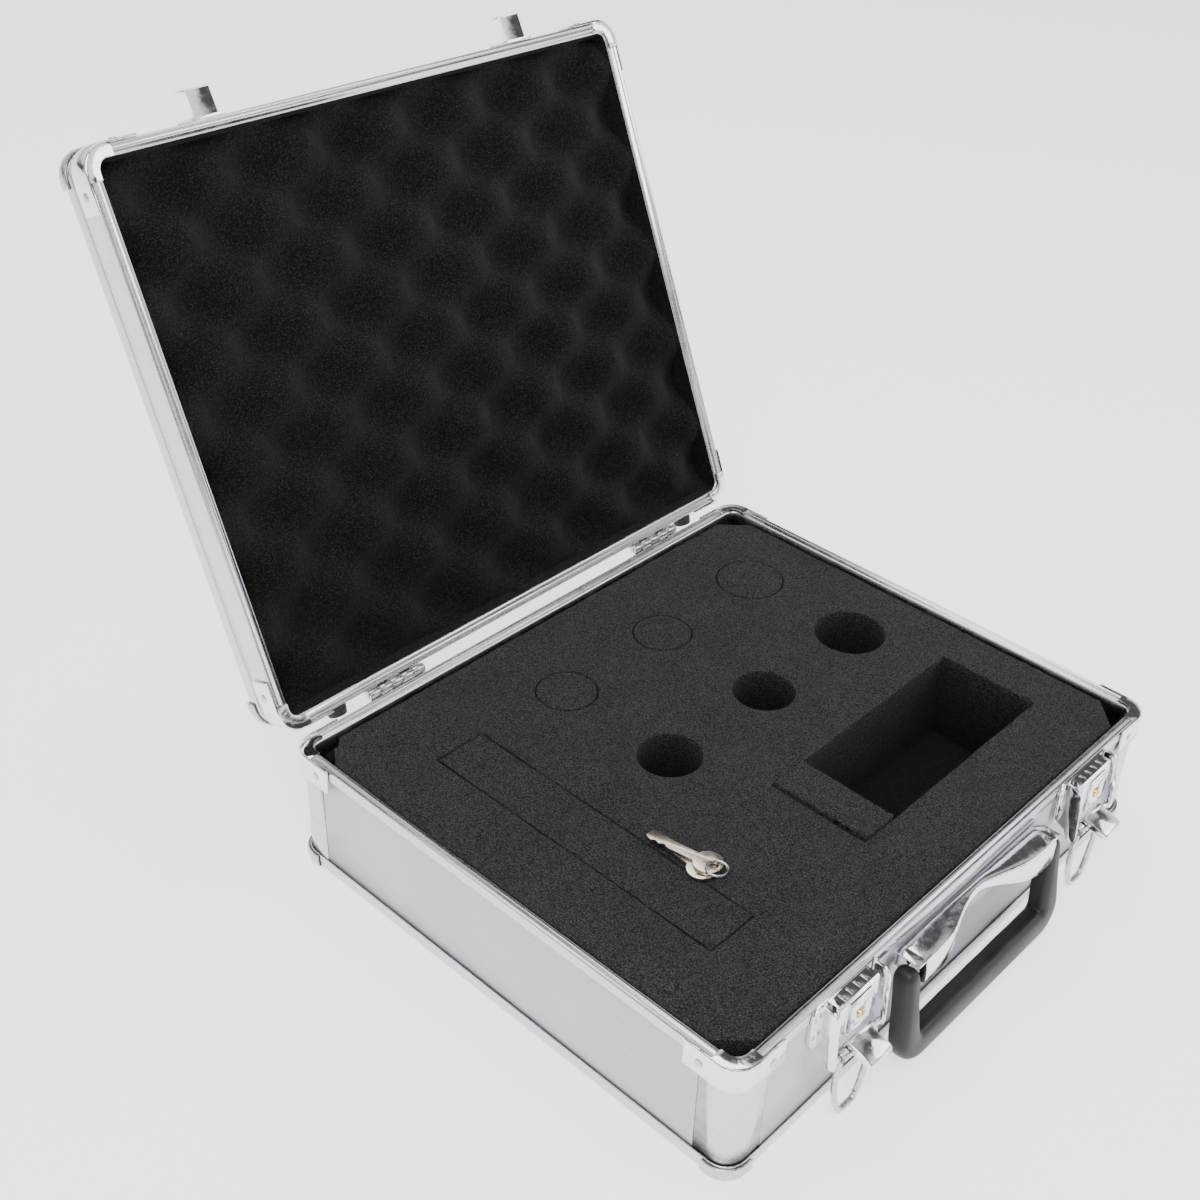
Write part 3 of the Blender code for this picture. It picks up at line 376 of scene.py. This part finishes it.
# ---- rivets ----------------------------------------------------------------------------------
RIVET_R, RIVET_H = 2.1, 0.75
RIVET_SINK = 0.4             # foot of the head, below the face it stands on
RIVET_SIDES = 24
TIP_R = 0.01                 # least radius, so the crown stays a loop
DOME = ((RIVET_R, -RIVET_SINK), (RIVET_R, 0.12), (RIVET_R * 0.93, 0.34),
        (RIVET_R * 0.72, 0.56), (RIVET_R * 0.40, 0.70), (0.0, RIVET_H))      # radius, height
OUTWARD = {"+x": Matrix.Rotation(pi / 2, 4, 'Y'), "-x": Matrix.Rotation(-pi / 2, 4, 'Y'),
           "+y": Matrix.Rotation(-pi / 2, 4, 'X'), "-y": Matrix.Rotation(pi / 2, 4, 'X')}
CAP_OUT = 1.2                # outer face of a rim cap, from the rim
CAP_RIVET_ALONG = 19.0       # from the corner of the case
CAP_RIVET_BELOW = 6.8        # from the rim plane
LATCH_OUT = 1.5              # outer face of a latch's back sheet, from the rim
LATCH_RIVET_X, LATCH_RIVET_Z, LATCH_RIVET_SIZE = 19.6, (53, 63), 0.55
LEAF_IN = 1.15               # outer face of a hinge leaf, from the hinge axis
HINGE_RIVET_X, HINGE_RIVET_Z, HINGE_RIVET_SIZE = 11.0, 9.5, 0.75


def rivet(name, centre, axis, body, size=1.0):
    """A domed head on a face that looks along axis."""
    loops = []
    for r, height in DOME:
        r = max(r * size, TIP_R)
        loops.append([(r * cos(tau * i / RIVET_SIDES), r * sin(tau * i / RIVET_SIDES), height * size)
                      for i in range(RIVET_SIDES)])
    bm = loft(loops)
    bmesh.ops.transform(bm, matrix=Matrix.Translation(Vector(centre)) @ OUTWARD[axis], verts=bm.verts)
    place(name, bm, "steel", body)


for corner, sx, sy in CORNERS:
    for owner, body, z in (("base", "case", RIM_Z - CAP_RIVET_BELOW),
                           ("lid", "lid", LID_Z + CAP_RIVET_BELOW)):
        cap = "%s_rim_cap_%s" % (owner, corner)
        rivet(cap + "_rivet_end", (sx * (HX + CAP_OUT), sy * (HY - CAP_RIVET_ALONG), z),
              "+x" if sx > 0 else "-x", body)
        rivet(cap + "_rivet_face", (sx * (HX - CAP_RIVET_ALONG), sy * (HY + CAP_OUT), z),
              "+y" if sy > 0 else "-y", body)

for side in SIDES:
    middle = (low("latch_body_" + side).x + high("latch_body_" + side).x) / 2
    for end in (-1, 1):
        for z in LATCH_RIVET_Z:
            rivet("latch_rivet_%s_%d_%d" % (side, end, z),
                  (middle + end * LATCH_RIVET_X, -HY - LATCH_OUT, z), "-y", "case", LATCH_RIVET_SIZE)
        x, y = middle + end * HINGE_RIVET_X, AXIS.y - LEAF_IN
        rivet("hinge_base_rivet_%s_%d" % (side, end), (x, y, AXIS.z - HINGE_RIVET_Z),
              "+y", "case", HINGE_RIVET_SIZE)
        rivet("hinge_lid_rivet_%s_%d" % (side, end), (x, y, AXIS.z + HINGE_RIVET_Z),
              "+y", "lid", HINGE_RIVET_SIZE)

# ---- base foam -------------------------------------------------------------------------------
CUT_ROUND = 0.55             # radius left on a cut edge
CUT_SHARP = 50.0             # degrees between faces that counts as a cut edge
MOST_DIVISIONS = 7
SWELL, SWELL_SCALE = 0.30, 0.045
GRAIN, GRAIN_SCALE = 0.08, 0.3
DRAWN_IN = 0.12              # the face lies this far inside the CAD solid on average


def foam_piece(node, spacing):
    """A cut block of foam: the CAD solid with its edges rounded over and its faces left uneven."""
    bm = bmesh.new()
    bm.from_mesh(frame["nodes"][node].data)
    bmesh.ops.scale(bm, verts=bm.verts, vec=(1 / MM, 1 / MM, 1 / MM))
    bmesh.ops.remove_doubles(bm, verts=bm.verts, dist=0.005)
    bmesh.ops.dissolve_limit(bm, angle_limit=radians(1.0), verts=bm.verts, edges=bm.edges)
    cut = [e for e in bm.edges if e.is_manifold and e.calc_face_angle() > radians(CUT_SHARP)]
    bmesh.ops.bevel(bm, geom=cut, offset=CUT_ROUND, segments=2, profile=0.5, affect='EDGES',
                    clamp_overlap=True)
    bmesh.ops.triangulate(bm, faces=bm.faces)
    for _ in range(MOST_DIVISIONS):
        long = [e for e in bm.edges if e.calc_length() > spacing]
        if not long:
            break
        bmesh.ops.subdivide_edges(bm, edges=long, cuts=1)
        bmesh.ops.triangulate(bm, faces=bm.faces)
    bm.normal_update()
    for vert in bm.verts:
        uneven = (noise.noise(vert.co * SWELL_SCALE) * SWELL
                  + noise.noise(vert.co * GRAIN_SCALE) * GRAIN)
        vert.co += vert.normal * (uneven - DRAWN_IN)
    obj = place(node + "_soft", bm, "foam", "case", sharp=70.0)
    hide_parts(node)


foam_piece("foam_block", 5.0)
for node in ("foam_plug_left", "foam_plug_middle", "foam_plug_right", "foam_plug_strip",
             "foam_pocket_block"):
    foam_piece(node, 3.5)

# ---- lid foam --------------------------------------------------------------------------------
EGG_CELL = 25.0              # from peak to peak along a row is twice this
EGG_ROW_Y = -12.0            # a row of peaks
EGG_PEAK, EGG_VALLEY = 3.0, 15.0             # depths below the lid's rim plane
EGG_FULLER = 0.10            # how much rounder than a cosine
EGG_EDGE_UP = 0.8            # the edge is turned up against the frame, above the peaks
EGG_LEAST = 1.2              # no point stands further above the peaks
EGG_MESH = 1.3
LID_FOAM_BACK = 20.7
LID_FOAM_INSET = 6.15        # from the outside of the rim


def lid_foam():
    """Egg-crate foam: staggered rounded peaks, uneven as foam is cut on a wire."""
    hx, hy = HX - LID_FOAM_INSET, HY - LID_FOAM_INSET
    nx, ny = round(2 * hx / EGG_MESH), round(2 * hy / EGG_MESH)
    corner_r = CORNER_R - LID_FOAM_INSET
    bm = bmesh.new()
    rows = []
    for i in range(nx + 1):
        row = []
        for j in range(ny + 1):
            x, y = -hx + 2 * hx * i / nx, -hy + 2 * hy * j / ny
            over = Vector((abs(x) - (HX - CORNER_R), abs(y) - (HY - CORNER_R)))
            if over.x > 0 and over.y > 0 and over.length > corner_r:
                shrink = 1.0 - corner_r / over.length
                x -= over.x * shrink * (1 if x > 0 else -1)
                y -= over.y * shrink * (1 if y > 0 else -1)
            wave = cos(pi * x / EGG_CELL) * cos(pi * (y - EGG_ROW_Y) / EGG_CELL)
            wave = wave * (1.0 + EGG_FULLER - EGG_FULLER * wave * wave)
            drift = (noise.noise(Vector((x, y, 0.0)) * 0.02) * 0.9
                     + noise.noise(Vector((x, y, 7.0)) * 0.12) * 0.5)
            depth = (EGG_PEAK + EGG_VALLEY) / 2 - wave * (EGG_VALLEY - EGG_PEAK) / 2 + drift
            if i in (0, nx) or j in (0, ny):
                depth = EGG_PEAK - EGG_EDGE_UP
            row.append(bm.verts.new((x, y, LID_Z + max(depth, EGG_PEAK - EGG_LEAST))))
        rows.append(row)
    for a, b in zip(rows, rows[1:]):
        for j in range(ny):
            bm.faces.new((a[j], a[j + 1], b[j + 1], b[j]))
    edge = ([rows[i][0] for i in range(nx)] + [rows[nx][j] for j in range(ny)]
            + [rows[i][ny] for i in range(nx, 0, -1)] + [rows[0][j] for j in range(ny, 0, -1)])
    back = [bm.verts.new((v.co.x, v.co.y, LID_Z + LID_FOAM_BACK)) for v in edge]
    for k in range(len(edge)):
        m = (k + 1) % len(edge)
        bm.faces.new((edge[k], edge[m], back[m], back[k]))
    bm.faces.new(back)
    obj = place("lid_egg_foam", bm, "lid_foam", "lid", sharp=50.0)
    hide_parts("lid_foam")


lid_foam()

# ---- hardware --------------------------------------------------------------------------------
for side in SIDES:
    dress("lid_strike_" + side, "chrome", 0.3)
    dress("hinge_base_leaf_" + side, "steel", 0.12)
    dress("hinge_lid_leaf_" + side, "steel", 0.12)
    dress("latch_body_" + side, "chrome", 0.4)
    dress("latch_lock_" + side, "brass", 0.15)
    dress("latch_lever_" + side, "chrome", 0.3)
    dress("latch_loop_" + side, "steel")
    dress("base_foot_" + side, "rubber")
    dress("lid_foot_" + side, "rubber")
dress("handle_bracket", "chrome", 0.3)

# ---- grip ------------------------------------------------------------------------------------
# Drawn flat as (x, down from the pivots) and hung at its tilt.
GRIP_TILT = radians(6.5)
GRIP_DROP = 49.4             # pivots to the lower edge of the bar
ARM_HALF, BAR_HALF, THICK_HALF = 4.8, 7.6, 5.6
ARM_X = high("handle_grip").x - ARM_HALF     # middle of an arm
BAR_Y = GRIP_DROP - BAR_HALF                 # middle of the bar
BEND_R, BEND_STEPS = 8.5, 10
BEND_FROM, BEND_TO = 10, 90                  # degrees
ARM_STATIONS = (-3.6, -2.6, -0.8, 2.0, 8.0, 15.0, 24.0, BAR_Y - BEND_R)
BAR_STATIONS = (40.0, 34.0, 27.0, 20.0, 13.0, 6.5)
FLARE_FROM, FLARE_OVER = 12.0, BAR_Y - 16.0  # where an arm starts to widen, and over what length
END_TAPER = (0.45, 0.74, 0.93, 1.0)
SECTION_STEPS, SECTION_POWER = 28, 0.72      # squarer than an ellipse
FINGER_SWELL, FINGER_PITCH, FINGERS_HALF = 0.35, 21.0, 38


def grip():
    """Moulded handle: one rounded bar carried round two bends, swelling where the fingers go."""
    pivot = Vector(JOINTS["handle_pivot"]["pos_m"]) / MM
    down = Vector((0.0, -sin(GRIP_TILT), -cos(GRIP_TILT)))
    out = Vector((0.0, -cos(GRIP_TILT), sin(GRIP_TILT)))
    half = [(ARM_X, y) for y in ARM_STATIONS]
    for i in range(BEND_STEPS + 1):
        turn = radians(BEND_FROM + (BEND_TO - BEND_FROM) * i / BEND_STEPS)
        half.append((ARM_X - BEND_R + BEND_R * cos(turn), BAR_Y - BEND_R + BEND_R * sin(turn)))
    half += [(x, BAR_Y) for x in BAR_STATIONS]
    path = half + [(0.0, BAR_Y)] + [(-x, y) for x, y in reversed(half)]

    def section(i):
        x, y = path[i]
        flare = min(1.0, max(0.0, (y - FLARE_FROM) / FLARE_OVER))
        wide = ARM_HALF + (BAR_HALF - ARM_HALF) * flare * flare * (3 - 2 * flare)
        taper = END_TAPER[min(i, len(path) - 1 - i, len(END_TAPER) - 1)]
        swell = FINGER_SWELL * cos(tau * x / FINGER_PITCH) if abs(x) < FINGERS_HALF else 0.0
        shape = []
        for k in range(SECTION_STEPS):
            c, q = cos(tau * k / SECTION_STEPS), sin(tau * k / SECTION_STEPS)
            u = abs(c) ** SECTION_POWER * (1 if c >= 0 else -1)
            v = abs(q) ** SECTION_POWER * (1 if q >= 0 else -1)
            inner = swell - FINGER_SWELL if u > 0 else 0.0
            shape.append((u * taper * (wide + inner), v * THICK_HALF * taper))
        return shape

    points = [pivot + down * y + Vector((x, 0, 0)) for x, y in path]
    obj = place("handle_moulding", sweep(points, out, section), "plastic", "handle", sharp=80.0)
    smoother = obj.modifiers.new("smooth", 'SUBSURF')
    smoother.levels = smoother.render_levels = 1
    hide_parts("handle_grip")


grip()
dress("key_lower", "nickel", 0.2)
dress("key_upper", "nickel", 0.2)
dress("key_ring", "steel")

# ---- stage, in metres ------------------------------------------------------------------------
FLOOR_HALF = 12.0
FLOOR_DROP = 0.0002          # keeps the floor clear of the case's own underside
FLOOR_GLOW = 1.3
SKY = 2.0                    # grey of the world as the camera sees it, close to the lit floor
PATCHES = ((0.40, 0.10), (0.58, 1.35))       # grey of the world as the case reflects it
PATCH_TINT = 1.02            # a little more blue
LAMPS = (("key", (-0.9, -0.7, 1.5), 1.0, 24.0),
         ("fill", (1.0, -1.0, 0.9), 0.9, 8.0),
         ("top", (0.1, 0.5, 1.7), 1.2, 18.0))        # name, place, size, watts
LAMP_TARGET = Vector((0, 0, 0.1))


def floor():
    bm = bmesh.new()
    bmesh.ops.create_grid(bm, x_segments=1, y_segments=1, size=FLOOR_HALF)
    mesh = bpy.data.meshes.new("floor")
    bm.to_mesh(mesh)
    bm.free()
    obj = bpy.data.objects.new("floor", mesh)
    obj.location.z = -FLOOR_DROP
    bpy.context.scene.collection.objects.link(obj)
    look = Look("floor_paper", (0.90, 0.90, 0.90), 0.9, Emission_Strength=FLOOR_GLOW)
    look.shader.inputs["Emission Color"].default_value = (1.0, 1.0, 1.0, 1.0)
    tooth = look.noise(0.2, 3.0)
    look.paint("Base Color", look.ramp(tooth, (0.3, 0.895), (0.7, 0.905)))
    mesh.materials.append(look.mat)


def studio():
    """Soft patches of light all round, seen by the case only; the camera sees plain grey."""
    world = bpy.data.worlds.new("studio")
    bpy.context.scene.world = world
    world.use_nodes = True
    tree = world.node_tree
    background = tree.nodes["Background"]
    direction = tree.nodes.new("ShaderNodeTexCoord")
    patches = tree.nodes.new("ShaderNodeTexNoise")
    patches.inputs["Scale"].default_value = 1.7
    patches.inputs["Detail"].default_value = 1.0
    ramp = tree.nodes.new("ShaderNodeValToRGB")
    tree.links.new(direction.outputs["Generated"], patches.inputs["Vector"])
    tree.links.new(patches.outputs["Fac"], ramp.inputs["Fac"])
    for element, (position, grey) in zip(ramp.color_ramp.elements, PATCHES):
        element.position = position
        element.color = (grey, grey, grey * PATCH_TINT, 1.0)
    seen = tree.nodes.new("ShaderNodeMix")
    seen.data_type = 'RGBA'
    seen.inputs[7].default_value = (SKY, SKY, SKY, 1.0)
    rays = tree.nodes.new("ShaderNodeLightPath")
    tree.links.new(rays.outputs["Is Camera Ray"], seen.inputs[0])
    tree.links.new(ramp.outputs["Color"], seen.inputs[6])
    tree.links.new(seen.outputs[2], background.inputs["Color"])
    background.inputs["Strength"].default_value = 1.0
    for name, spot, size, power in LAMPS:
        lamp = bpy.data.lights.new(name, 'AREA')
        lamp.energy = power
        lamp.size = size
        obj = bpy.data.objects.new(name, lamp)
        obj.location = spot
        obj.rotation_euler = (LAMP_TARGET - Vector(spot)).to_track_quat('-Z', 'Y').to_euler()
        bpy.context.scene.collection.objects.link(obj)


def camera():
    lens = bpy.data.cameras.new("camera")
    lens.lens = 48.91
    lens.sensor_width = 36.0
    lens.shift_x, lens.shift_y = -0.05, -0.01667
    lens.clip_start = 0.02
    obj = bpy.data.objects.new("camera", lens)
    obj.location = (-0.48883, -0.36309, 0.55903)
    obj.rotation_euler = (radians(55.951), radians(-2.762), radians(-47.801))
    bpy.context.scene.collection.objects.link(obj)
    bpy.context.scene.camera = obj


floor()
studio()
camera()
